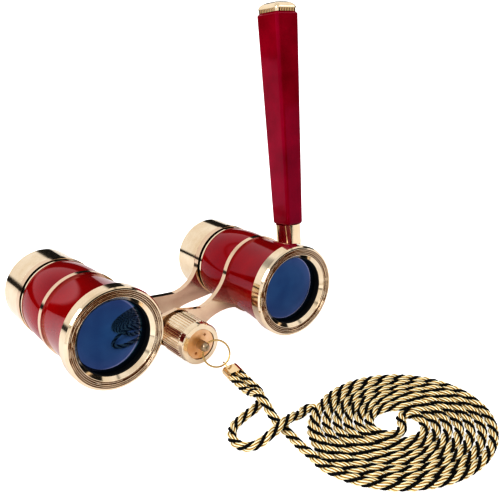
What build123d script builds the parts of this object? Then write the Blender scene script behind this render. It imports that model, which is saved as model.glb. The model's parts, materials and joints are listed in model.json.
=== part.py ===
"""Opera glasses with a folding side handle and a coiled neck cord.

The glasses are modelled in their own axes, in millimetres: X runs from the left barrel
to the right one, Y from the objectives to the eyepieces, and Z is the side that the
handle stands on. Every part is then set down on the surface that the glasses rest on,
with STAND: they lie on the right barrel and on the focusing wheel.
"""
from build123d import *
import os
from math import cos, pi, radians, sin, sqrt, tan

# ---------------------------------------------------------------- driving dimensions
SPACING = 64.0                    # barrel axis to barrel axis
HALF = SPACING / 2
LENGTH = 50.9                     # bezel face to eyecup rim, closed

ROLL = 9.0                        # the right barrel lies lower than the left one
PITCH = 2.9                       # the eyecups are slimmer than the bezels
ORIGIN = (11.769, 25.3, -20.183)  # centre of the resting glasses' footprint, glasses axes turned

BEZEL_R = 15.0
BEZEL_FACE_R = 14.65
BEZEL_LENGTH = 4.0
APERTURE_R = 11.15
FACE_EDGE_R = BEZEL_FACE_R - 0.35  # the bezel's face dips inwards from this radius
DISH_R = 12.1                     # to this one
DISH_DEPTH = 0.35
LIP_REAR = 1.6                    # back of the lip in front of the lens
LENS_R = 12.0
LENS_RIM = 3.45                   # front rim of the doublet, from the bezel's face
CEMENT_RIM = 4.7                  # rim of the cemented faces
LENS_REAR = 7.1
CEMENT_SAG = 1.2
SKIRT_R = 12.75
SKIRT_END = 8.2
GROOVE_R = 0.2                    # ring grooves on the bezel's face
GROOVES = (12.45, 12.95, 13.45, 13.95)

FLARE_END = 20.4
BRIDGE_THICK = 1.8
DRUM_FRONT = FLARE_END + BRIDGE_THICK
DRUM_REAR = 35.9
DRUM_FRONT_R = 12.75
DRUM_REAR_R = 12.6
DRUM_BORE = 11.5
SPIGOT_R = 12.0
SPIGOT_LONG = 1.2                 # how far the flare's spigot reaches into the drum
FELT_FRONT = 31.5
FELT_REAR = 35.0
TRIM_THICK = 1.0

DRAW_R = 10.3
DRAW_BORE = 9.5
DRAW_FRONT = 24.0
DRAW_REAR = 42.3                  # where the draw tube ends in the eyecup
RUN = 0.06                        # radial clearance of everything that slides or turns
REAR_BRIDGE_FRONT = 37.7
REAR_BRIDGE_THICK = 2.2
EYECUP_FRONT = 40.3
EYECUP_R = 12.64
OCULAR_R = 9.0
OCULAR_FRONT = 43.6
OCULAR_REAR = LENGTH - 4.7

PIN_Y = 11.9                      # drive pin, with the eyepieces right in
AXLE_Z = -12.6                    # the focusing wheel's axis, below the barrels
WHEEL_R = 6.8
WHEEL_FRONT = 7.2
COLLAR_LENGTH = 2.5
WHEEL_REAR = 19.3
WHEEL_BORE = 4.7
SLEEVE_R = 3.0
SLEEVE_FRONT = 8.1
FLANGE_THICK = 1.2                # of the sleeve, behind the front bridge
POST_R = 1.5
ROD_R = 2.0
THREAD_R = 1.4                    # of the rod's rear end, in the rear bridge and its nut
ROD_END = 41.4
PIN_R = 0.6
TRAVEL = 6.0                      # focusing travel of the eyepieces
POST_HOLE_Y = 5.0

HANDLE_X = 52.6
HANDLE_Y = 27.6
HANDLE_LEAN = 7.1                 # from upright, towards the eyepieces
KNUCKLE_R = 4.5
KNUCKLE_WIDE = 5.4
FERRULE_R = 4.4
GRIP_START = 12.9
GRIP_END = 86.3
CORE_R = 2.6                      # rod inside the grip
CORE_START = 8.0
CORE_END = 84.0
BAND_HIGH = 1.1
NOTCH_PITCH = 0.8
SCREW_R = 1.6
SCREW_END = 46.4                  # inner end of the pivot screw
BOSS_END = 49.3
WASHER_END = 49.8

ROPE_R = 1.35                     # neck cord, half of its thickness
COIL_CENTRE = (6.6, -81.6)        # the flat coil beside the glasses, on the surface
COIL_LONG = 24.95                 # half of the oval coil's length and width
COIL_WIDE = 22.55
COIL_TURN = -45
RING_R = 4.1                      # jump ring, to the middle of its wire
RING_OUTWARD = (0.518, -0.686, -0.512)   # from the post's hole to the ring's centre
RING_NORMAL = (-0.44, -0.715, 0.542)
LINK_AT = (0.94, -0.34)           # where the link hangs, in the ring's own plane
RING_WIRE_R = 0.28
LINK_R = 0.65
LINK_WIRE_R = 0.25
CRIMP_SIZE = (5.4, 2.9, 4.2)      # flattened ferrule: across, thick, long
CRIMP_REAR = (-10.94, -32.65)
CRIMP_HEADING = (-0.153, -0.988, 0)

# the two ends of the cord, from the ferrule to the coil
STRAND_A = (
    (-9.59, -32.86, 1.45), (-10.37, -37.9, 1.4), (-10.7, -44.4, 1.35), (-14.9, -48.9, 1.35),
    (-21.0, -49.6, 1.35), (-26.8, -51.3, 1.35), (-30.2, -56.8, 1.35), (-27.6, -62.2, 1.6),
    (-20.9, -63.2, 4.2), (-14.4, -61.5, 4.2), (-9.6, -60.3, 1.7), (-4.6, -60.3, 1.35),
)
STRAND_B = (
    (-12.29, -32.44, 1.45), (-13.06, -37.4, 1.4), (-13.6, -42.2, 1.7), (-14.1, -46.3, 4.2),
    (-14.7, -51.2, 4.2), (-16.0, -56.6, 1.6), (-16.5, -63.0, 1.35), (-17.9, -70.0, 1.35),
    (-17.6, -76.0, 1.35),
)

STAND = Pos(-ORIGIN[0], -ORIGIN[1], -ORIGIN[2]) * Rot(X=-PITCH) * Rot(Y=ROLL)
SIDES = (("left", -HALF), ("right", HALF))
BOTTOM = (Align.CENTER, Align.CENTER, Align.MIN)


def turned(*points):
    """Solid of revolution about Y from (radius, y) corners."""
    return revolve(make_face(Polyline(*points, close=True)), Axis.Y)


def turned_edges(*lines):
    """Solid of revolution about Y from the lines of a closed outline in (radius, y)."""
    edges = [edge for line in lines for edge in line.edges()]
    return revolve(make_face(Wire(edges)), Axis.Y)


def rod_y(radius, start, end):
    """Cylinder along Y from start to end."""
    return Pos(0, start, 0) * Rot(X=-90) * Cylinder(radius, end - start, align=BOTTOM)


def rod_x(radius, start, end):
    """Cylinder along X from start to end."""
    return Pos(start, 0, 0) * Rot(Y=90) * Cylinder(radius, end - start, align=BOTTOM)


# ---------------------------------------------------------------- one barrel, axis on Y
def bezel():
    """Gilt objective ring: plain band, four grooves on its face and a skirt behind."""
    ring = turned(
        (BEZEL_R, 0.7), (BEZEL_R, BEZEL_LENGTH), (SKIRT_R, BEZEL_LENGTH),
        (SKIRT_R, SKIRT_END), (LENS_R, SKIRT_END), (LENS_R, LIP_REAR),
        (APERTURE_R, LIP_REAR), (APERTURE_R, DISH_DEPTH + 1.0), (DISH_R, DISH_DEPTH),
        (FACE_EDGE_R, 0), (BEZEL_FACE_R, 0.1),
    )
    for radius in GROOVES:
        # the face is a shallow cone between its edge and the dish
        depth = DISH_DEPTH * (FACE_EDGE_R - radius) / (FACE_EDGE_R - DISH_R)
        ring -= revolve(Pos(radius, depth) * Circle(GROOVE_R), Axis.Y)
    return ring


def ball(radius, rim, sag):
    """Sphere on the Y axis that crosses the given radius at rim and ends at rim + sag."""
    sphere_r = (radius ** 2 + sag ** 2) / (2 * abs(sag))
    centre = rim + sag - sphere_r * (1 if sag > 0 else -1)
    return Pos(0, centre, 0) * Rot(X=-90) * Sphere(sphere_r)


def lens_gasket():
    """Black seat between the bezel's lip and the front lens."""
    return turned((LENS_R, LIP_REAR), (LENS_R, LENS_RIM - 0.02), (10.9, LENS_RIM - 0.18),
                  (10.9, LIP_REAR))


def objective_crown():
    """Front element, convex on both faces."""
    blank = rod_y(LENS_R, LIP_REAR, LENS_REAR)
    return blank & ball(LENS_R, LENS_RIM, -0.9) & ball(LENS_R, CEMENT_RIM, CEMENT_SAG)


def objective_flint():
    """Rear element, cemented to the front one and flat behind."""
    return rod_y(LENS_R, CEMENT_RIM, LENS_REAR) - ball(LENS_R, CEMENT_RIM, CEMENT_SAG)


def objective_retainer():
    """Threaded ring that holds the doublet in the bezel's skirt."""
    return turned((LENS_R, LENS_REAR), (LENS_R, SKIRT_END), (10.8, SKIRT_END),
                  (10.8, LENS_REAR))


def flare_shell():
    """Lacquered trumpet from the bezel to the front bridge, with a spigot behind."""
    outside = ThreePointArc((14.55, BEZEL_LENGTH), (13.5, 11.5), (12.8, FLARE_END))
    inside = Polyline(
        outside @ 1, (SPIGOT_R, FLARE_END), (SPIGOT_R, DRUM_FRONT + SPIGOT_LONG),
        (11.2, DRUM_FRONT + SPIGOT_LONG), (11.2, 15.0), (12.2, 9.0), (SKIRT_R, SKIRT_END),
        (SKIRT_R, BEZEL_LENGTH), outside @ 0,
    )
    return turned_edges(outside, inside)


def drum_outside():
    """Bulging outer line of the drum, in (radius, y)."""
    return ThreePointArc((DRUM_FRONT_R, DRUM_FRONT), (13.1, (DRUM_FRONT + DRUM_REAR) / 2),
                         (DRUM_REAR_R, DRUM_REAR))


def drum_shell():
    """Lacquered barrel between the front bridge and the rear trim ring."""
    outside = drum_outside()
    inside = Polyline(
        outside @ 1, (DRUM_BORE, DRUM_REAR), (DRUM_BORE, DRUM_FRONT + SPIGOT_LONG),
        (SPIGOT_R, DRUM_FRONT + SPIGOT_LONG), (SPIGOT_R, DRUM_FRONT), outside @ 0,
    )
    return turned_edges(outside, inside)


def felt_guide():
    """Felt ring that the draw tube slides through."""
    return turned((DRUM_BORE, FELT_FRONT), (DRUM_BORE, FELT_REAR), (DRAW_R + RUN, FELT_REAR),
                  (DRAW_R + RUN, FELT_FRONT))


def trim_ring():
    """Gilt end ring of the drum; its skirt keeps the felt in place."""
    rear = DRUM_REAR + TRIM_THICK
    return turned((12.8, DRUM_REAR), (12.8, rear - 0.25), (12.55, rear), (10.5, rear),
                  (10.5, FELT_REAR), (DRUM_BORE, FELT_REAR), (DRUM_BORE, DRUM_REAR))


def draw_tube():
    """Tube that carries an eyepiece and slides in the drum."""
    return turned((DRAW_R, DRAW_FRONT), (DRAW_R, DRAW_REAR), (DRAW_BORE, DRAW_REAR),
                  (DRAW_BORE, DRAW_FRONT))


def eyecup():
    """Gilt eyepiece cup with a dished face around the eye lens."""
    rim = LENGTH
    return turned(
        (EYECUP_R, EYECUP_FRONT + 0.2), (EYECUP_R, rim - 0.5), (EYECUP_R - 0.5, rim),
        (EYECUP_R - 1.1, rim), (7.6, rim - 3.4), (7.6, OCULAR_REAR), (OCULAR_R, OCULAR_REAR),
        (OCULAR_R, DRAW_REAR), (DRAW_R, DRAW_REAR), (DRAW_R, EYECUP_FRONT),
        (EYECUP_R - 0.2, EYECUP_FRONT),
    )


def ocular_lens():
    """Negative eye lens, hollow on both faces."""
    blank = rod_y(OCULAR_R, OCULAR_FRONT, OCULAR_REAR)
    return blank - ball(OCULAR_R, OCULAR_FRONT, 0.8) - ball(OCULAR_R, OCULAR_REAR, -0.8)


def ocular_retainer():
    """Ring that holds the eye lens against its shoulder."""
    return turned((OCULAR_R, DRAW_REAR), (OCULAR_R, OCULAR_FRONT), (7.8, OCULAR_FRONT),
                  (7.8, DRAW_REAR))


BARREL_PARTS = {
    "bezel": bezel,
    "lens_gasket": lens_gasket,
    "objective_crown": objective_crown,
    "objective_flint": objective_flint,
    "objective_retainer": objective_retainer,
    "flare_shell": flare_shell,
    "drum_shell": drum_shell,
    "felt_guide": felt_guide,
    "trim_ring": trim_ring,
    "draw_tube": draw_tube,
    "eyecup": eyecup,
    "ocular_lens": ocular_lens,
    "ocular_retainer": ocular_retainer,
}


# ---------------------------------------------------------------- bridges
def bridge(ring_r, bore_r, hub_r, hub_bore, hub_top, saddle, belly, front, thick):
    """Plate across Y: a ring on each barrel and two arms that dip to the low hub.

    saddle holds three points of the upper edge, which ends over the hub at hub_top, and
    belly holds four of the lower edge. Both are in (x, z) for the right arm.
    """
    start = (HALF - ring_r * cos(radians(10)), ring_r * sin(radians(10)))
    hub_side = (hub_r * 0.75, AXLE_Z - hub_r * sqrt(1 - 0.75 ** 2))
    upper = ThreePointArc(start, saddle[0], saddle[1])
    crown = ThreePointArc(saddle[1], saddle[2], (0, hub_top))
    under = Spline(hub_side, *belly)
    edges = [upper, crown, Line((0, hub_top), (0, AXLE_Z)), Line((0, AXLE_Z), hub_side), under,
             Line(under @ 1, (HALF, -bore_r)), Line((HALF, -bore_r), (HALF, 0)),
             Line((HALF, 0), start)]
    arm = make_face(Wire(edges))
    plate = arm + mirror(arm, Plane.YZ)
    plate += Pos(0, AXLE_Z) * Circle(hub_r)
    for _, x in SIDES:
        plate += Pos(x, 0) * Circle(ring_r)
    for _, x in SIDES:
        plate -= Pos(x, 0) * Circle(bore_r)
    plate -= Pos(0, AXLE_Z) * Circle(hub_bore)
    # the sketch lies in X and Z: turn it so that its thickness runs along +Y
    return Pos(0, front + thick, 0) * Rot(X=90) * extrude(plate, thick)


def front_bridge():
    """Fixed bridge: holds both barrels and the focusing sleeve."""
    return bridge(
        ring_r=13.4, bore_r=SPIGOT_R, hub_r=6.5, hub_bore=SLEEVE_R, hub_top=-5.3,
        saddle=((15.2, -3.3), (9.0, -6.95), (4.6, -6.4)),
        belly=((8.6, -14.3), (12.6, -11.5), (17.2, -9.9), (23.5, -10.0)),
        front=FLARE_END, thick=BRIDGE_THICK,
    )


def rear_bridge():
    """Moving bridge: carries both eyepieces on the focusing rod."""
    return bridge(
        ring_r=12.95, bore_r=DRAW_R, hub_r=5.5, hub_bore=THREAD_R, hub_top=-7.0,
        saddle=((15.4, -5.0), (9.5, -7.5), (5.0, -7.35)),
        belly=((8.0, -14.6), (11.8, -13.0), (17.5, -11.8), (25.0, -10.6)),
        front=REAR_BRIDGE_FRONT, thick=REAR_BRIDGE_THICK,
    )


# ---------------------------------------------------------------- focusing gear, axis on Y
def focus_sleeve():
    """Fixed sleeve: the wheel turns on it and the rod slides in it."""
    rear = DRUM_FRONT + FLANGE_THICK
    sleeve = rod_y(SLEEVE_R, SLEEVE_FRONT, DRUM_FRONT) + rod_y(4.4, DRUM_FRONT, rear)
    sleeve -= rod_y(ROD_R + RUN, 9.0, rear)
    slot = Box(2 * SLEEVE_R + 1, TRAVEL + 2 * PIN_R + 0.4, 2 * (PIN_R + RUN))
    return sleeve - Pos(0, PIN_Y + TRAVEL / 2, 0) * slot


def wheel_washer():
    """Washer between the wheel and the front bridge."""
    return rod_y(5.6, 19.45, FLARE_END) - rod_y(SLEEVE_R, 19.0, 21.0)


def focus_wheel():
    """Straight-knurled sleeve of the focusing wheel."""
    ridges = 46
    outline = []
    for i in range(ridges):
        for part, radius in ((0, WHEEL_R), (0.35, WHEEL_R), (0.55, WHEEL_R - 0.32),
                             (0.8, WHEEL_R - 0.32)):
            angle = 2 * pi * (i + part) / ridges
            outline.append((radius * cos(angle), radius * sin(angle)))
    start = WHEEL_FRONT + COLLAR_LENGTH
    face = make_face(Polyline(*outline, close=True))
    wheel = Pos(0, WHEEL_REAR, 0) * Rot(X=90) * extrude(face, WHEEL_REAR - start)
    wheel &= turned((0, start), (WHEEL_R - 0.3, start), (WHEEL_R + 0.1, start + 0.4),
                    (WHEEL_R + 0.1, WHEEL_REAR - 0.4), (WHEEL_R - 0.3, WHEEL_REAR),
                    (0, WHEEL_REAR))
    wheel -= rod_y(WHEEL_BORE, start, 18.6)
    return wheel - rod_y(SLEEVE_R + RUN, 18.0, WHEEL_REAR)


def wheel_collar():
    """Plain front end of the wheel, with a recess for the end plate."""
    rear = WHEEL_FRONT + COLLAR_LENGTH
    return turned(
        (4.95, WHEEL_FRONT), (WHEEL_R - 0.45, WHEEL_FRONT), (WHEEL_R - 0.15, WHEEL_FRONT + 0.3),
        (WHEEL_R - 0.15, rear - 0.25), (WHEEL_R - 0.4, rear), (WHEEL_BORE, rear), (WHEEL_BORE, rear + 1.2),
        (SLEEVE_R + RUN, rear + 1.2), (SLEEVE_R + RUN, 8.2), (4.95, 8.2),
    )


def end_plate():
    """Fixed disc that keeps the wheel on its sleeve, with two spanner holes."""
    plate = rod_y(4.75, 7.45, SLEEVE_FRONT) - rod_y(POST_R, 7.0, SLEEVE_FRONT)
    for angle in (60, 240):
        x, z = 3.2 * cos(radians(angle)), 3.2 * sin(radians(angle))
        plate -= Pos(x, 0, z) * rod_y(0.45, 7.0, SLEEVE_FRONT)
    return plate


def lanyard_post():
    """Post with a domed head, riveted through the end plate; its cross hole comes later."""
    return rod_y(POST_R, POST_HOLE_Y, SLEEVE_FRONT) + Pos(0, POST_HOLE_Y, 0) * Sphere(POST_R)


def push_rod():
    """Rod from the rear bridge into the sleeve; a pin drives it."""
    rod = rod_y(ROD_R, 10.6, REAR_BRIDGE_FRONT) + rod_y(THREAD_R, REAR_BRIDGE_FRONT, ROD_END)
    return rod - Pos(0, PIN_Y, 0) * rod_x(PIN_R, -3, 3)


def drive_pin():
    """Pin through the rod and the sleeve's slot, into the wheel."""
    return Pos(0, PIN_Y, 0) * rod_x(PIN_R, -4.4, 4.4)


def rod_nut():
    """Domed nut that fastens the rear bridge to the rod."""
    rear = REAR_BRIDGE_FRONT + REAR_BRIDGE_THICK
    dome = rod_y(3.4, rear, rear + 3.0) & ball(3.4, rear + 1.0, 1.9)
    return dome - rod_y(THREAD_R, rear, ROD_END)


AXLE_PARTS = {
    "focus_sleeve": focus_sleeve,
    "wheel_washer": wheel_washer,
    "focus_wheel": focus_wheel,
    "wheel_collar": wheel_collar,
    "end_plate": end_plate,
    "lanyard_post": lanyard_post,
    "push_rod": push_rod,
    "drive_pin": drive_pin,
    "rod_nut": rod_nut,
}


# ---------------------------------------------------------------- handle, pivot at its origin
def handle_boss():
    """Round foot on the right drum that the handle turns on, in glasses axes."""
    foot = Pos(0, HANDLE_Y, 0) * rod_x(4.7, HALF + 11.5, BOSS_END)
    drum = turned_edges(drum_outside(), Polyline(
        (DRUM_REAR_R, DRUM_REAR), (0, DRUM_REAR), (0, DRUM_FRONT), (DRUM_FRONT_R, DRUM_FRONT)))
    foot -= Pos(HALF, 0, 0) * drum
    return foot - Pos(0, HANDLE_Y, 0) * rod_x(SCREW_R, SCREW_END, 50)


def friction_washer():
    """Washer that lets the handle stay where it is turned, in glasses axes."""
    washer = rod_x(4.2, BOSS_END, WASHER_END) - rod_x(SCREW_R + RUN, 49.0, 50.0)
    return Pos(0, HANDLE_Y, 0) * washer


def pivot_screw():
    """Slotted screw that the handle turns on, in glasses axes."""
    seat = HANDLE_X + KNUCKLE_WIDE / 2 + 0.1
    head = rod_y(3.3, seat, seat + 2.0) & ball(3.3, seat + 0.8, 1.0)
    screw = rod_x(SCREW_R, SCREW_END, seat) + Rot(Z=-90) * head
    return Pos(0, HANDLE_Y, 0) * (screw - Pos(seat + 1.8, 0, 0) * Box(1.4, 8, 0.7))


def on_handle(part):
    """Place a part drawn with the pivot at its origin and the grip along +Z."""
    return Pos(HANDLE_X, HANDLE_Y, 0) * Rot(X=-HANDLE_LEAN) * part


def handle_ferrule():
    """Gilt ferrule with the knuckle that the pivot screw passes through."""
    wide = KNUCKLE_WIDE
    knuckle = rod_x(KNUCKLE_R, -wide / 2, wide / 2)
    knuckle += Pos(0, 0, 3.2) * Box(wide, 7.0, 6.4)
    tube = Pos(0, 0, 5.4) * Cylinder(FERRULE_R, GRIP_START - 5.4, align=BOTTOM)
    tube = chamfer(tube.edges().sort_by(Axis.Z)[0], 0.6)
    part = knuckle + tube - rod_x(SCREW_R + RUN, -wide, wide)
    return part - Pos(0, 0, CORE_START) * Cylinder(CORE_R, GRIP_START, align=BOTTOM)


def handle_core():
    """Rod inside the grip, from the ferrule to the cap."""
    return Pos(0, 0, CORE_START) * Cylinder(CORE_R, CORE_END - CORE_START, align=BOTTOM)


def grip_section(height, half_x, half_y, corner=1.15):
    """Rounded rectangle across the grip."""
    return Pos(0, 0, height) * RectangleRounded(2 * half_x, 2 * half_y, corner)


def grip_shell():
    """Lacquered grip: a rounded rectangle that widens towards the cap."""
    grip = loft([grip_section(GRIP_START, 3.5, 4.5), grip_section(GRIP_END, 4.85, 5.75)])
    grip = fillet(grip.edges().group_by(Axis.Z)[0], 1.0)
    grip = chamfer(grip.edges().group_by(Axis.Z)[-1], 0.8)
    return grip - Pos(0, 0, GRIP_START - 1) * Cylinder(CORE_R, 90, align=BOTTOM)


def cap_band():
    """Band between the grip and the cap, milled with small upright notches."""
    half_x, half_y = 4.4, 5.3
    band = extrude(grip_section(GRIP_END, half_x, half_y), BAND_HIGH)
    notch = Pos(0, 0, GRIP_END + BAND_HIGH / 2) * Box(0.38, 0.38, BAND_HIGH)
    for i in range(-4, 5):
        for side in (-1, 1):
            band -= Pos(i * NOTCH_PITCH * 0.9, side * half_y, 0) * notch
            band -= Pos(side * half_x, i * NOTCH_PITCH * 1.1, 0) * notch
    return band - Pos(0, 0, GRIP_END - 1) * Cylinder(CORE_R, 5, align=BOTTOM)


def grip_cap():
    """Domed gilt cap; its stem plugs into the grip."""
    base = GRIP_END + BAND_HIGH
    cap = loft([grip_section(base, 4.55, 5.45), grip_section(base + 0.7, 4.4, 5.3),
                grip_section(base + 1.6, 3.7, 4.6), grip_section(base + 2.2, 2.4, 3.2)])
    return cap + Pos(0, 0, CORE_END) * Cylinder(CORE_R, base - CORE_END, align=BOTTOM)


HANDLE_PARTS = {
    "handle_ferrule": handle_ferrule,
    "handle_core": handle_core,
    "grip_shell": grip_shell,
    "cap_band": cap_band,
    "grip_cap": grip_cap,
}


def glasses():
    """Every part of the glasses, by name, set down on the surface."""
    parts = {}
    for name, make in BARREL_PARTS.items():
        for side, x in SIDES:
            parts[f"{name}_{side}"] = Pos(x, 0, 0) * make()
    for name, make in AXLE_PARTS.items():
        parts[name] = Pos(0, 0, AXLE_Z) * make()
    for make in (front_bridge, rear_bridge, handle_boss, friction_washer, pivot_screw):
        parts[make.__name__] = make()
    for name, make in HANDLE_PARTS.items():
        parts[name] = on_handle(make())
    return {name: STAND * part for name, part in parts.items()}


# ---------------------------------------------------------------- neck cord, on the surface
def ring_plane():
    """Plane of the jump ring, which hangs forward from the hole in the post."""
    hole = (STAND * Pos(0, POST_HOLE_Y, AXLE_Z)).position
    outward = Vector(*RING_OUTWARD).normalized()
    return Plane(origin=hole + outward * RING_R, x_dir=outward, z_dir=RING_NORMAL)


def jump_ring(wire_r=RING_WIRE_R):
    """Wire ring through the post; a thicker wire makes the hole that it passes through."""
    return ring_plane() * Torus(RING_R, wire_r)


def link_ring():
    """Narrow wire link: it bends round the jump ring and both legs enter the ferrule."""
    ring = ring_plane()
    downward = ring.x_dir * LINK_AT[0] + ring.y_dir * LINK_AT[1]
    eye = ring.origin + downward.normalized() * RING_R
    front = Vector(*CRIMP_REAR, CRIMP_SIZE[1] / 2) - Vector(*CRIMP_HEADING) * CRIMP_SIZE[2]
    along = (front - eye).normalized()
    bend = Plane(origin=eye, x_dir=along, z_dir=ring.z_dir.cross(eye - ring.origin))
    reach = (front - eye).length + 1.5
    path = Polyline((reach, LINK_R), (0, LINK_R)) + Line((0, -LINK_R), (reach, -LINK_R))
    path = path + ThreePointArc((0, LINK_R), (-LINK_R, 0), (0, -LINK_R))
    return tube(bend * path, LINK_WIRE_R)


def cord_ferrule():
    """Flattened ferrule crimped on both ends of the cord."""
    across, thick, long = CRIMP_SIZE
    heading = Vector(*CRIMP_HEADING).normalized()
    rear = Plane(origin=(*CRIMP_REAR, thick / 2), x_dir=heading.cross(Vector(0, 0, 1)),
                 z_dir=-heading)
    return extrude(rear * RectangleRounded(across, thick, thick * 0.45), long)


def corner_radii(points):
    """Arc radius at each inner point, as large as the shorter run beside it allows."""
    radii = []
    for before, here, after in zip(points, points[1:], points[2:]):
        arriving = Vector(*here) - Vector(*before)
        leaving = Vector(*after) - Vector(*here)
        half_turn = radians(arriving.get_angle(leaving)) / 2
        radii.append(0.45 * min(arriving.length, leaving.length) / tan(half_turn))
    return radii


def tube(path, radius):
    """Round bar along a path."""
    return sweep(Plane(origin=path @ 0, z_dir=path % 0) * Circle(radius), path)


def cord_strand(name, points):
    """Plain tube of one end of the cord, along straight runs and tangent arcs."""
    radii = corner_radii(points)
    path = FilletPolyline(*points, radius=radii)
    strand = tube(path, ROPE_R)
    print(name, "radii", [round(radius, 1) for radius in radii], "length",
          round(path.length, 1), "volume ratio",
          round(strand.volume / (pi * ROPE_R ** 2 * path.length), 4))
    return strand


def cord_coil():
    """Outer shape of the flat coil: an oval disc one rope thick."""
    disc = extrude(Rot(Z=COIL_TURN) * Ellipse(COIL_LONG, COIL_WIDE), 2 * ROPE_R)
    return Pos(*COIL_CENTRE, 0) * fillet(disc.edges(), ROPE_R * 0.9)


def cord():
    """Cord, with the ring, link and ferrule that fasten it to the glasses."""
    coil = cord_coil()
    link = link_ring()
    ferrule = cord_ferrule()
    return {
        "jump_ring": jump_ring(),
        "link_ring": link,
        "cord_ferrule": ferrule - link,
        "cord_strand_a": cord_strand("strand a", STRAND_A) - coil - ferrule,
        "cord_strand_b": cord_strand("strand b", STRAND_B) - coil - ferrule,
        "cord_coil": coil,
    }


parts = glasses()
parts["lanyard_post"] -= jump_ring(RING_WIRE_R + 0.2)
box = Compound([p for part in parts.values() for p in part.solids()]).bounding_box()
print("glasses", box.min, box.max)
for name in ("bezel_right", "eyecup_right", "focus_wheel", "front_bridge", "rear_bridge"):
    print(name, "lowest", round(parts[name].bounding_box().min.Z, 3))
parts.update(cord())
os.makedirs("parts", exist_ok=True)
for name, part in parts.items():
    export_step(part, f"parts/{name}.step")
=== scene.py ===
"""Opera glasses on a white table: camera, neck cord, materials and light over the CAD frame."""
import bpy
import json
from math import cos, pi, radians, sin, tau
from mathutils import Matrix, Vector


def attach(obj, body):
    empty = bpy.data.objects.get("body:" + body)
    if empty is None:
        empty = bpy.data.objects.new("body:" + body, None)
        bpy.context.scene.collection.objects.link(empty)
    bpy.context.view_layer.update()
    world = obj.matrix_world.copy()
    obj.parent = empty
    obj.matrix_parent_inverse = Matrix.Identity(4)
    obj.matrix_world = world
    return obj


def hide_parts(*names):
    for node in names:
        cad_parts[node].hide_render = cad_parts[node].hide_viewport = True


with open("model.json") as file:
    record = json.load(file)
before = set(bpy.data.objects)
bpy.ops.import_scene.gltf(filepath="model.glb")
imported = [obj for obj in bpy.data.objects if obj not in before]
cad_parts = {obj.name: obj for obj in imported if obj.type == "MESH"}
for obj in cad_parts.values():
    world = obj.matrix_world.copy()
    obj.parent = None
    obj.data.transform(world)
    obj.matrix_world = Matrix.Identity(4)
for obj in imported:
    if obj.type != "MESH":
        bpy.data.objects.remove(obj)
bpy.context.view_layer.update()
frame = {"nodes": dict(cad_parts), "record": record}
nodes = frame["nodes"]
MM = 0.001
SIDES = ("left", "right")


# ---------------------------------------------------------------- camera
CAMERA_PLACE = Vector((-114.34, -189.99, 131.52)) * MM
AZIMUTH = -35.58
ELEVATION = 24.99
CAMERA_ROLL = -5.03
FOCAL_LENGTH = 54.0


def make_camera():
    """Camera at the photograph's angle and distance."""
    data = bpy.data.cameras.new("camera")
    data.lens = FOCAL_LENGTH
    data.sensor_width = 36.0
    data.clip_start = 0.01
    camera = bpy.data.objects.new("camera", data)
    bpy.context.scene.collection.objects.link(camera)
    turn = (Matrix.Rotation(radians(AZIMUTH), 4, "Z")
            @ Matrix.Rotation(radians(90 - ELEVATION), 4, "X")
            @ Matrix.Rotation(radians(CAMERA_ROLL), 4, "Z"))
    camera.matrix_world = Matrix.Translation(CAMERA_PLACE) @ turn
    bpy.context.scene.camera = camera


# ---------------------------------------------------------------- neck cord, route in mm
ROPE_R = 1.35
# strands A and B are the cord's two ends, from the ferrule down to the coil
STRAND_A = (
    (-9.59, -32.86, 1.45), (-10.37, -37.9, 1.4), (-10.7, -44.4, 1.35), (-14.9, -48.9, 1.35),
    (-21.0, -49.6, 1.35), (-26.8, -51.3, 1.35), (-30.2, -56.8, 1.35), (-27.6, -62.2, 1.6),
    (-20.9, -63.2, 4.2), (-14.4, -61.5, 4.2), (-9.6, -60.3, 1.7),
)
STRAND_B = (
    (-12.29, -32.44, 1.45), (-13.06, -37.4, 1.4), (-13.6, -42.2, 1.7), (-14.1, -46.3, 4.2),
    (-14.7, -51.2, 4.2), (-16.0, -56.6, 1.6), (-16.5, -63.0, 1.35), (-17.9, -70.0, 1.35),
    (-17.9, -75.0, 1.35),
)
# the fold where strand A meets the coil, and its way in beside strand B
FOLD = (
    (-6.9, -59.0, 1.5), (-4.7, -59.7, 1.35), (-5.0, -61.9, 1.35), (-8.0, -63.6, 1.35),
    (-10.9, -66.2, 1.35), (-13.4, -69.8, 1.35), (-15.1, -74.3, 1.35),
)
COIL_CENTRE = (6.6, -81.6)
COIL_RADIUS = 22.9                # of strand B on its first lap, before the coil's oval shape
COIL_ENTRY = 174                  # angle at which strand B meets the coil
ROW = 2.76                        # from the middle of one row to the next
OVAL = 0.055                      # share by which the coil is longer and narrower than round
OVAL_TURN = -45                   # angle of its long side
STEP_SIDE = 165                   # each lap goes in by two rows, mostly on this side
B_END = 1434                      # angle at which strand B reaches the middle, laps included
A_START = 174                     # the same two angles for strand A
A_END = 1236
TURN_STEP = 18                    # from one point of the coil to the next
# the small S in the middle, from strand A's last turn to strand B's
HEART = (
    (-5.5, 0.2), (-4.1, -1.5), (-1.6, -1.8), (0.6, -0.7), (1.7, 1.2), (3.0, 2.4), (5.0, 2.4),
    (6.2, 1.1),
)


def laps(angle):
    """Laps from the step side to angle, gained mostly near the step side itself."""
    turn = radians(angle - STEP_SIDE)
    return (1.5 * turn + 2 * sin(turn) + 0.25 * sin(2 * turn)) / (1.5 * tau)


def coil_point(angle, inset):
    """Point of the flat coil; strand A runs inset by one row inside strand B."""
    radius = COIL_RADIUS - 2 * ROW * (laps(angle) - 0.5) - inset
    radius *= 1 + OVAL * cos(2 * radians(angle - OVAL_TURN))
    return (COIL_CENTRE[0] + radius * cos(radians(angle)),
            COIL_CENTRE[1] + radius * sin(radians(angle)), ROPE_R)


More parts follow.
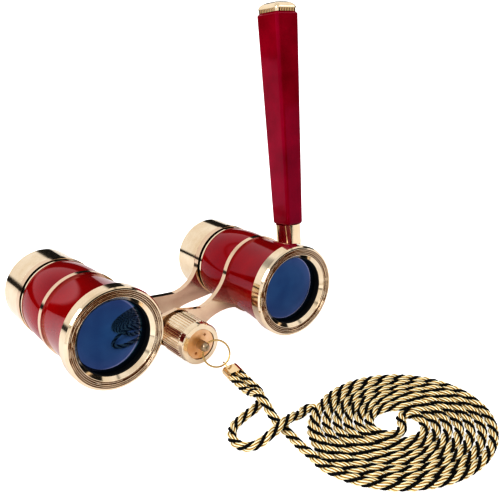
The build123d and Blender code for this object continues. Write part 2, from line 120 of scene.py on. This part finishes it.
def cord_route():
    """From the ferrule along strand A, in and out of the coil, and back along strand B."""
    inward = [coil_point(angle, ROW) for angle in range(A_START, A_END + 1, TURN_STEP)]
    outward = [coil_point(angle, 0) for angle in range(B_END, COIL_ENTRY - 1, -TURN_STEP)]
    heart = [(COIL_CENTRE[0] + x, COIL_CENTRE[1] + y, ROPE_R) for x, y in HEART]
    route = list(STRAND_A) + list(FOLD) + inward + heart + outward + list(reversed(STRAND_B))
    return [Vector(point) * MM for point in route]


def spline_points(route):
    """Smooth line through the route, as the points of its NURBS spline."""
    curve = bpy.data.curves.new("cord_route", "CURVE")
    curve.dimensions = "3D"
    spline = curve.splines.new("NURBS")
    spline.points.add(len(route) - 1)
    for point, place in zip(spline.points, route):
        point.co = (*place, 1)
    spline.order_u = 3
    spline.use_endpoint_u = True
    spline.resolution_u = 12
    holder = bpy.data.objects.new("cord_route", curve)
    bpy.context.scene.collection.objects.link(holder)
    bpy.context.view_layer.update()
    line = bpy.data.meshes.new_from_object(holder)
    points = [vertex.co.copy() for vertex in line.vertices]
    bpy.data.objects.remove(holder)
    return points


def evenly(points, step):
    """The same line with its points step apart."""
    spaced = [points[0]]
    left = step
    for a, b in zip(points, points[1:]):
        run = (b - a).length
        while run > left:
            a = a + (b - a) * (left / run)
            spaced.append(a)
            run = (b - a).length
            left = step
        left -= run
    spaced.append(points[-1])
    return spaced


def carried_frames(points):
    """(point, across, over) along the line; the pair turns as little as it can."""
    frames = []
    across = None
    for i, point in enumerate(points):
        ahead = points[min(i + 1, len(points) - 1)] - points[max(i - 1, 0)]
        ahead.normalize()
        if across is None:
            across = ahead.cross(Vector((0, 0, 1)))
        across = (across - ahead * across.dot(ahead)).normalized()
        frames.append((point, across, ahead.cross(across)))
    return frames


LAY = 9.0 * MM                    # length in which a ply goes once round the rope
ROPE_STEP = 0.42 * MM             # from one ring of the rope's mesh to the next


class Ply:
    """One ply of the rope.

    radius and offset from the rope's middle are in mm, phase is its place round the rope,
    and groove is how deep the gaps between its yarns are, as a share of its radius.
    """

    def __init__(self, radius, offset, phase, yarns, points_per_yarn, groove, finish):
        self.radius = radius * MM
        self.offset = offset * MM
        self.phase = phase
        self.yarns = yarns
        self.count = yarns * points_per_yarn
        self.groove = groove
        self.finish = finish

    def ring(self, travelled, point, across, over):
        """Corners of the ply's outline where the rope has run for travelled metres."""
        turn = -tau * travelled / LAY
        outward = across * cos(turn + self.phase) + over * sin(turn + self.phase)
        middle = point + outward * self.offset
        # the yarns twist back against the ply, so that they lie along the rope
        back = -turn * self.offset / self.radius
        corners = []
        for k in range(self.count):
            angle = tau * k / self.count
            radius = self.radius * (1 - self.groove * (0.5 - 0.5 * cos(self.yarns * angle)))
            direction = across * cos(angle + back) + over * sin(angle + back)
            corners.append(middle + direction * radius)
        return corners


GOLD_YARNS = 5
GOLD, BLACK = 0, 1                # material slots of the rope
# two gold plies face each other, and two thinner black ones lie between them
PLIES = (
    Ply(0.77, 0.63, 0.0, GOLD_YARNS, 5, 0.32, GOLD),
    Ply(0.77, 0.63, pi, GOLD_YARNS, 5, 0.32, GOLD),
    Ply(0.51, 0.83, pi / 2, 3, 4, 0.2, BLACK),
    Ply(0.51, 0.83, -pi / 2, 3, 4, 0.2, BLACK),
)


def make_rope(line):
    """The twisted rope as one mesh along the line, with UVs round and along each ply."""
    frames = carried_frames(evenly(line, ROPE_STEP))
    corners, faces, finishes, around = [], [], [], []
    for ply in PLIES:
        first = len(corners)
        for i, (point, across, over) in enumerate(frames):
            corners += ply.ring(i * ROPE_STEP, point, across, over)
        n = ply.count
        for i in range(len(frames) - 1):
            for k in range(n):
                a = first + i * n + k
                b = first + i * n + (k + 1) % n
                faces.append((a, b, b + n, a + n))
                finishes.append(ply.finish)
                left, right = k / n, (k + 1) / n
                low, high = i * ROPE_STEP / LAY, (i + 1) * ROPE_STEP / LAY
                around += [(left, low), (right, low), (right, high), (left, high)]
        for end in (0, len(frames) - 1):
            cap = [first + end * n + k for k in range(n)]
            faces.append(cap if end else cap[::-1])
            finishes.append(ply.finish)
            around += [(0.5, 0.5)] * n
    mesh = bpy.data.meshes.new("neck_cord")
    mesh.from_pydata(corners, [], faces)
    mesh.polygons.foreach_set("material_index", finishes)
    mesh.polygons.foreach_set("use_smooth", [True] * len(faces))
    layer = mesh.uv_layers.new(name="UVMap")
    layer.data.foreach_set("uv", [value for pair in around for value in pair])
    rope = bpy.data.objects.new("neck_cord", mesh)
    bpy.context.scene.collection.objects.link(rope)
    return rope


def add_cord():
    """Neck cord in place of its CAD solids."""
    route = cord_route()
    line = spline_points(route)
    rope = make_rope(line)
    rope.data.materials.append(gold_thread())
    rope.data.materials.append(black_thread())
    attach(rope, "barrels")
    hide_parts("cord_strand_a", "cord_strand_b", "cord_coil")


# ---------------------------------------------------------------- front lenses
LENS_R = 12.0                     # mm, as the CAD's
LENS_RIM = 3.45                   # rim of the front face, behind the face of the bezel
LENS_SAG = 0.9                    # how far its middle stands in front of its rim
LENS_REAR = 4.7                   # back of the piece, inside the doublet
BEZEL_MIDDLE = 2.35               # the bezel's mount, behind the face of the bezel


def barrel_place(side):
    """Matrix of a barrel: its own Y runs from the bezel's face to the eyepiece, in mm."""
    mount = next(m for m in frame["record"]["mounts"] if m["name"] == f"bezel_{side}")
    along = -Vector(mount["axis"]).normalized()
    across = along.cross(Vector((0, 0, 1))).normalized()
    turn = Matrix((across, along, across.cross(along))).transposed().to_4x4()
    start = Vector(mount["pos_m"]) - along * BEZEL_MIDDLE * MM
    return Matrix.Translation(start) @ turn @ Matrix.Scale(MM, 4)


def add_lens(side, finish):
    """Finely curved front lens in place of the CAD's coarser one."""
    steps = 24
    turns = 96
    outline = []
    for i in range(1, steps + 1):
        share = i / steps
        outline.append((LENS_R * share, LENS_RIM - LENS_SAG * (1 - share ** 2)))
    outline.append((LENS_R, LENS_REAR))
    corners = [(0, LENS_RIM - LENS_SAG, 0)]
    for radius, y in outline:
        corners += [(radius * cos(tau * k / turns), y, radius * sin(tau * k / turns))
                    for k in range(turns)]
    corners.append((0, LENS_REAR, 0))
    rear = len(corners) - 1
    faces = []
    for k in range(turns):
        here, after = 1 + k, 1 + (k + 1) % turns
        faces.append((0, here, after))
        for row in range(len(outline) - 1):
            a, b = here + row * turns, after + row * turns
            faces.append((a, a + turns, b + turns, b))
        last = (len(outline) - 1) * turns
        faces.append((rear, after + last, here + last))
    mesh = bpy.data.meshes.new(f"front_lens_{side}")
    mesh.from_pydata(corners, [], faces)
    mesh.polygons.foreach_set("use_smooth", [True] * len(faces))
    across = mesh.uv_layers.new(name="UVMap")
    for loop in mesh.loops:
        x, _, z = corners[loop.vertex_index]
        across.data[loop.index].uv = (x / LENS_R, z / LENS_R)
    mesh.transform(barrel_place(side))
    mesh.materials.append(finish)
    lens = bpy.data.objects.new(f"front_lens_{side}", mesh)
    bpy.context.scene.collection.objects.link(lens)
    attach(lens, "barrels")
    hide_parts(f"objective_crown_{side}")


# ---------------------------------------------------------------- material parts
def fill_ramp(ramp, stops):
    """Give a colour ramp its (position, colour) stops."""
    for position, _ in stops[1:-1]:
        ramp.elements.new(position)
    for element, (position, colour) in zip(ramp.elements, stops):
        element.position = position
        element.color = (*colour, 1)


class Finish:
    """A node material with one Principled shader, and short ways to add nodes to it."""

    def __init__(self, name):
        self.material = bpy.data.materials.new(name)
        self.material.use_nodes = True
        self.nodes = self.material.node_tree.nodes
        self.links = self.material.node_tree.links
        self.shader = self.nodes["Principled BSDF"]

    def set(self, **values):
        """Set inputs of the shader by their names in lower case."""
        for key, value in values.items():
            label = key.replace("_", " ").title().replace("Ior", "IOR")
            self.shader.inputs[label].default_value = value

    def add(self, kind, **settings):
        """New node of a kind with its settings."""
        node = self.nodes.new(kind)
        for key, value in settings.items():
            setattr(node, key, value)
        return node

    def place(self, scale=(1, 1, 1), source="Object"):
        """Object coordinates in metres, or UVs, stretched by scale."""
        coordinates = self.add("ShaderNodeTexCoord")
        mapping = self.add("ShaderNodeMapping")
        mapping.inputs["Scale"].default_value = scale
        self.links.new(coordinates.outputs[source], mapping.inputs["Vector"])
        return mapping.outputs["Vector"]

    def noise(self, vector, scale, detail=3.0, roughness=0.5):
        """Noise of 0..1 over vector."""
        node = self.add("ShaderNodeTexNoise")
        node.inputs["Scale"].default_value = scale
        node.inputs["Detail"].default_value = detail
        node.inputs["Roughness"].default_value = roughness
        self.links.new(vector, node.inputs["Vector"])
        return node.outputs["Fac"]

    def ramp(self, value, *stops):
        """Colour ramp from (position, colour) stops."""
        node = self.add("ShaderNodeValToRGB")
        fill_ramp(node.color_ramp, stops)
        self.links.new(value, node.inputs["Fac"])
        return node.outputs["Color"]

    def spread(self, value, low, high):
        """value from 0..1 to low..high."""
        node = self.add("ShaderNodeMapRange")
        node.inputs["To Min"].default_value = low
        node.inputs["To Max"].default_value = high
        self.links.new(value, node.inputs["Value"])
        return node.outputs["Result"]

    def colour(self, output):
        """Base colour from a node's output."""
        self.links.new(output, self.shader.inputs["Base Color"])

    def rough(self, output):
        """Roughness from a node's output."""
        self.links.new(output, self.shader.inputs["Roughness"])

    def bump(self, height, strength, distance):
        """Bumps of a height in metres over the surface."""
        node = self.add("ShaderNodeBump")
        node.inputs["Strength"].default_value = strength
        node.inputs["Distance"].default_value = distance
        self.links.new(height, node.inputs["Height"])
        self.links.new(node.outputs["Normal"], self.shader.inputs["Normal"])


# ---------------------------------------------------------------- materials
HOLLOW_SHADE = (0.16, 0.07, 0.03)       # painted shade: the gold's colour darkened to this in grooves and hollows


def plated(name, light, deep, rough_low=0.05, rough_high=0.13, hollow_from=0.465):
    """Polished gold plate: turning marks, faint wear, and painted brown shade in its hollows."""
    finish = Finish(name)
    finish.set(metallic=1.0)
    turned = finish.noise(finish.place((0, 1, 0)), 5200, 2)
    wear = finish.noise(finish.place(), 160, 4, 0.6)
    plate = finish.ramp(wear, (0.35, light), (0.75, deep))
    # painted shade: the plate is multiplied darker brown where the surface is hollow
    hollow = finish.add("ShaderNodeNewGeometry")
    painted_hollow_shade = finish.ramp(hollow.outputs["Pointiness"], (hollow_from, HOLLOW_SHADE), (0.498, (1, 1, 1)))
    tone = finish.add("ShaderNodeMix", data_type="RGBA", blend_type="MULTIPLY")
    tone.inputs["Factor"].default_value = 1.0
    finish.links.new(plate, tone.inputs["A"])
    finish.links.new(painted_hollow_shade, tone.inputs["B"])
    finish.colour(tone.outputs["Result"])
    finish.rough(finish.spread(wear, rough_low, rough_high))
    finish.bump(turned, 0.12, 0.00002)
    return finish.material


def lacquer(name, light, deep, sheen):
    """Deep gloss lacquer with a tinted reflection and a slightly uneven colour."""
    finish = Finish(name)
    finish.set(roughness=0.06, ior=1.5, specular_tint=(*sheen, 1))
    finish.shader.inputs["Specular IOR Level"].default_value = 0.4
    cloud = finish.noise(finish.place(), 90, 3)
    finish.colour(finish.ramp(cloud, (0.3, deep), (0.7, light)))
    finish.bump(finish.noise(finish.place(), 1400, 2), 0.05, 0.00002)
    return finish.material


def coated_lens():
    """Front lens: blue coating with a painted reflection: the pale edge of its rear face, seen off
    centre, and darker blue outside it.
    """
    finish = Finish("coated_lens")
    finish.set(metallic=0.85, roughness=0.03, coat_weight=0.35, coat_roughness=0.0)
    # painted reflection: a pale ring round an off-centre point, with the blue darker outside it
    edge = finish.add("ShaderNodeVectorMath", operation="DISTANCE")
    edge.inputs[1].default_value = (-0.13, 0.10, 0)
    finish.links.new(finish.place((1, 1, 1), "UV"), edge.inputs[0])
    painted_reflection = finish.ramp(edge.outputs["Value"], (0.0, (0.012, 0.060, 0.17)),
                        (0.6, (0.018, 0.060, 0.17)), (0.84, (0.034, 0.068, 0.19)),
                        (0.87, (0.17, 0.19, 0.34)), (0.90, (0.008, 0.055, 0.12)),
                        (1.0, (0.004, 0.030, 0.07)))
    haze = finish.noise(finish.place(), 110, 2)
    tone = finish.add("ShaderNodeMix", data_type="RGBA", blend_type="MULTIPLY")
    tone.inputs["Factor"].default_value = 1.0
    finish.links.new(painted_reflection, tone.inputs["A"])
    finish.links.new(finish.ramp(haze, (0.35, (0.8, 0.85, 0.9)), (0.65, (1.5, 1.3, 1.15))),
                     tone.inputs["B"])
    finish.colour(tone.outputs["Result"])
    return finish.material


def clear_lens():
    """Dark clear glass of the lenses behind."""
    finish = Finish("clear_lens")
    finish.set(roughness=0.02, ior=1.52, coat_weight=0.6, coat_roughness=0.0)
    haze = finish.noise(finish.place(), 60, 2)
    finish.colour(finish.ramp(haze, (0.3, (0.010, 0.016, 0.022)), (0.7, (0.016, 0.024, 0.032))))
    return finish.material


def black_metal():
    """Matt black metal inside the barrels."""
    finish = Finish("black_metal")
    finish.set(metallic=0.3)
    grain = finish.noise(finish.place(), 900, 3)
    finish.colour(finish.ramp(grain, (0.3, (0.006, 0.006, 0.007)), (0.7, (0.016, 0.015, 0.015))))
    finish.rough(finish.spread(grain, 0.4, 0.6))
    finish.bump(grain, 0.2, 0.00004)
    return finish.material


def turned_steel():
    """Steel of the focusing rod and screws."""
    finish = Finish("turned_steel")
    finish.set(metallic=1.0)
    lines = finish.noise(finish.place((0, 1, 0)), 4200, 3)
    finish.colour(finish.ramp(lines, (0.3, (0.42, 0.40, 0.37)), (0.7, (0.62, 0.59, 0.55))))
    finish.rough(finish.spread(lines, 0.18, 0.32))
    finish.bump(lines, 0.2, 0.00002)
    return finish.material


def felt_or_fibre(name, light, deep):
    """Short matted fibres of the felt and the washer."""
    finish = Finish(name)
    finish.set(roughness=0.9, sheen_weight=0.4)
    fibres = finish.noise(finish.place(), 2600, 5, 0.7)
    finish.colour(finish.ramp(fibres, (0.3, deep), (0.7, light)))
    finish.bump(fibres, 0.5, 0.0001)
    return finish.material


def gold_thread():
    """Metallic gold yarns with painted light: painted highlights pale on their crowns, painted
    brown shade in the grooves between them.
    """
    finish = Finish("gold_thread")
    finish.set(metallic=0.25, roughness=0.38)
    yarns = finish.add("ShaderNodeTexWave", bands_direction="X")
    yarns.inputs["Scale"].default_value = GOLD_YARNS * tau / 20
    yarns.inputs["Phase Offset"].default_value = pi
    yarns.inputs["Distortion"].default_value = 0.8
    yarns.inputs["Detail"].default_value = 2
    finish.links.new(finish.place((1, 1, 1), "UV"), yarns.inputs["Vector"])
    # painted shade and highlight: near black in the grooves between yarns, cream on their crowns
    finish.colour(finish.ramp(yarns.outputs["Fac"], (0.0, (0.05, 0.018, 0.004)),
                              (0.14, (0.42, 0.19, 0.04)), (0.36, (0.95, 0.60, 0.18)),
                              (0.7, (1.0, 0.90, 0.50)), (1.0, (1.0, 0.98, 0.80))))
    finish.bump(finish.noise(finish.place((60, 12, 1), "UV"), 6, 3), 0.3, 0.00005)
    return finish.material


def black_thread():
    """Black yarn between the gold ones."""
    finish = Finish("black_thread")
    finish.set(roughness=0.6)
    finish.shader.inputs["Specular IOR Level"].default_value = 0.12
    fibres = finish.noise(finish.place((40, 10, 1), "UV"), 6, 4)
    finish.colour(finish.ramp(fibres, (0.3, (0.001, 0.001, 0.001)), (0.7, (0.006, 0.005, 0.006))))
    finish.bump(fibres, 0.4, 0.00006)
    return finish.material


def both(*names):
    """The left and right node of each name."""
    return [f"{name}_{side}" for name in names for side in SIDES]


def dress(material, names):
    """Give CAD nodes their material."""
    for name in names:
        slots = nodes[name].data.materials
        slots.clear()
        slots.append(material)


def dress_all():
    """Every carried-over CAD node's material."""
    gilt = plated("gilt", (0.90, 0.77, 0.60), (0.80, 0.63, 0.44))
    dress(gilt, both("trim_ring", "eyecup"))
    grooved = plated("gilt_grooved", (0.92, 0.79, 0.62), (0.80, 0.63, 0.44), 0.05, 0.13, 0.493)
    dress(grooved, both("bezel"))
    dress(gilt, ["wheel_collar", "rod_nut", "handle_boss"])
    knurl = plated("gilt_knurl", (0.90, 0.78, 0.62), (0.74, 0.58, 0.42), 0.10, 0.20, 0.496)
    dress(knurl, ["focus_wheel"])
    bridge = plated("gilt_bridge", (0.84, 0.66, 0.50), (0.72, 0.52, 0.38))
    dress(bridge, ["front_bridge", "rear_bridge"])
    dress(plated("gilt_handle", (0.95, 0.80, 0.60), (0.88, 0.70, 0.48)),
          ["handle_ferrule", "grip_cap", "cap_band"])
    dress(plated("gilt_wire", (0.66, 0.48, 0.22), (0.46, 0.30, 0.12), 0.12, 0.25),
          ["jump_ring", "link_ring"])
    dress(plated("gilt_ferrule", (0.92, 0.72, 0.46), (0.76, 0.52, 0.28)), ["cord_ferrule"])
    dress(plated("bronze_post", (0.52, 0.42, 0.30), (0.34, 0.25, 0.16), 0.22, 0.36),
          ["lanyard_post"])
    dress(plated("rose_gilt", (0.94, 0.66, 0.46), (0.86, 0.46, 0.16), 0.26, 0.4), ["end_plate"])
    dress(lacquer("red_lacquer", (0.30, 0.001, 0.002), (0.22, 0.001, 0.002), (0.9, 0.4, 0.8)),
          both("flare_shell", "drum_shell"))
    dress(lacquer("grip_lacquer", (0.30, 0.0, 0.022), (0.19, 0.0, 0.010), (0.7, 0.1, 0.5)),
          ["grip_shell"])
    glass = coated_lens()
    for side in SIDES:
        add_lens(side, glass)
    dress(clear_lens(), both("objective_flint", "ocular_lens"))
    dress(black_metal(), both("lens_gasket", "objective_retainer", "ocular_retainer", "draw_tube"))
    dress(turned_steel(), ["push_rod", "drive_pin", "focus_sleeve", "wheel_washer", "pivot_screw",
                           "handle_core"])
    dress(felt_or_fibre("felt", (0.03, 0.03, 0.03), (0.008, 0.008, 0.008)), both("felt_guide"))
    dress(felt_or_fibre("fibre", (0.16, 0.05, 0.03), (0.07, 0.02, 0.012)), ["friction_washer"])


# ---------------------------------------------------------------- table and light
TABLE_HALF = 3.0                  # half of its side, in metres
TABLE_SEEN = 0.62                 # glow of the table top for the camera
TABLE_MIRRORED = 0.12             # and in reflections
LIT_POINT = Vector((0, -0.02, 0.03))


def add_floor():
    """Plain white table top."""
    mesh = bpy.data.meshes.new("floor")
    corners = [(-TABLE_HALF, -TABLE_HALF, 0), (TABLE_HALF, -TABLE_HALF, 0),
               (TABLE_HALF, TABLE_HALF, 0), (-TABLE_HALF, TABLE_HALF, 0)]
    mesh.from_pydata(corners, [], [(0, 1, 2, 3)])
    floor = bpy.data.objects.new("floor", mesh)
    bpy.context.scene.collection.objects.link(floor)
    finish = Finish("floor")
    finish.set(base_color=(0.82, 0.82, 0.83, 1), roughness=0.7, emission_color=(1, 1, 1, 1))
    # the camera sees the table as overexposed white; the metal mirrors it a little darker
    seen = finish.add("ShaderNodeLightPath")
    glow = finish.spread(seen.outputs["Is Camera Ray"], TABLE_MIRRORED, TABLE_SEEN)
    finish.links.new(glow, finish.shader.inputs["Emission Strength"])
    mesh.materials.append(finish.material)


def add_softbox(name, place, size, power):
    """Square area light at place, facing the glasses."""
    data = bpy.data.lights.new(name, "AREA")
    data.size = size
    data.energy = power
    light = bpy.data.objects.new(name, data)
    light.location = place
    light.rotation_euler = (LIT_POINT - Vector(place)).to_track_quat("-Z", "Y").to_euler()
    bpy.context.scene.collection.objects.link(light)


# (height, grey) of the room: dark up to a line that slopes up to the right, then bright but
# for one greyer band
WALL_SLOPE = (-0.24, 0.0, 1.0)
WALL_STOPS = (
    (0.0, 0.03), (0.20, 0.03), (0.24, 1.0), (0.62, 1.0), (0.66, 0.3), (0.72, 1.0), (1.0, 0.8),
)
ROOM_STRENGTH = 0.72


def add_world():
    """Room for the metal to mirror, dark low down; the camera itself sees plain white."""
    world = bpy.data.worlds.new("room")
    world.use_nodes = True
    tree = world.node_tree
    tree.nodes.clear()
    place = tree.nodes.new("ShaderNodeTexCoord")
    slope = tree.nodes.new("ShaderNodeVectorMath")
    slope.operation = "DOT_PRODUCT"
    slope.inputs[1].default_value = WALL_SLOPE
    tree.links.new(place.outputs["Generated"], slope.inputs[0])
    height = tree.nodes.new("ShaderNodeValToRGB")
    fill_ramp(height.color_ramp, [(position, (grey, grey * 0.985, grey * 0.96))
                                  for position, grey in WALL_STOPS])
    tree.links.new(slope.outputs["Value"], height.inputs["Fac"])
    room = tree.nodes.new("ShaderNodeBackground")
    room.inputs["Strength"].default_value = ROOM_STRENGTH
    tree.links.new(height.outputs["Color"], room.inputs["Color"])
    plain = tree.nodes.new("ShaderNodeBackground")
    plain.inputs["Color"].default_value = (1, 1, 1, 1)
    seen = tree.nodes.new("ShaderNodeLightPath")
    mix = tree.nodes.new("ShaderNodeMixShader")
    tree.links.new(seen.outputs["Is Camera Ray"], mix.inputs["Fac"])
    tree.links.new(room.outputs["Background"], mix.inputs[1])
    tree.links.new(plain.outputs["Background"], mix.inputs[2])
    output = tree.nodes.new("ShaderNodeOutputWorld")
    tree.links.new(mix.outputs["Shader"], output.inputs["Surface"])
    bpy.context.scene.world = world


make_camera()
add_cord()
dress_all()
add_floor()
add_world()
add_softbox("key", (-0.58, -0.16, 0.6), 0.4, 2.4)
add_softbox("fill", (0.55, -0.45, 0.35), 0.3, 0.2)
bpy.context.scene.view_settings.view_transform = "Standard"
bpy.context.scene.view_settings.look = "High Contrast"
